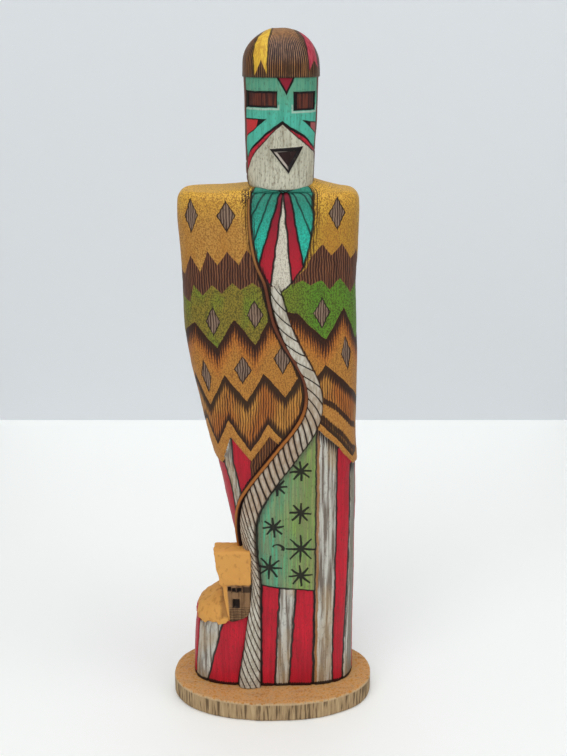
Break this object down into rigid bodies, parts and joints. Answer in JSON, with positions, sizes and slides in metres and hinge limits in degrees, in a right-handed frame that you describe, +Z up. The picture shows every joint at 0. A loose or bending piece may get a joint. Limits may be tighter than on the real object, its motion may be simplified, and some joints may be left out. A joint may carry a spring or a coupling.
{
  "type": "kachina doll",
  "caption": "Carved and painted wooden kachina figure in a wrapped blanket with a rope sash and a small pueblo tower, on an oval slab.",
  "frame": {"origin": "middle of the slab's underside", "axes": "+Z up, -Y towards the front that the mask looks out of, +X to the right as seen from the front"},
  "size_m": [0.0936, 0.0552, 0.3],
  "materials": {
    "painted_wood": "painted and burned, satin",
    "bare_wood": "oiled"
  },
  "bodies": {
    "root": {"figure": "painted_wood", "base": "bare_wood"}
  },
  "joints": []
}
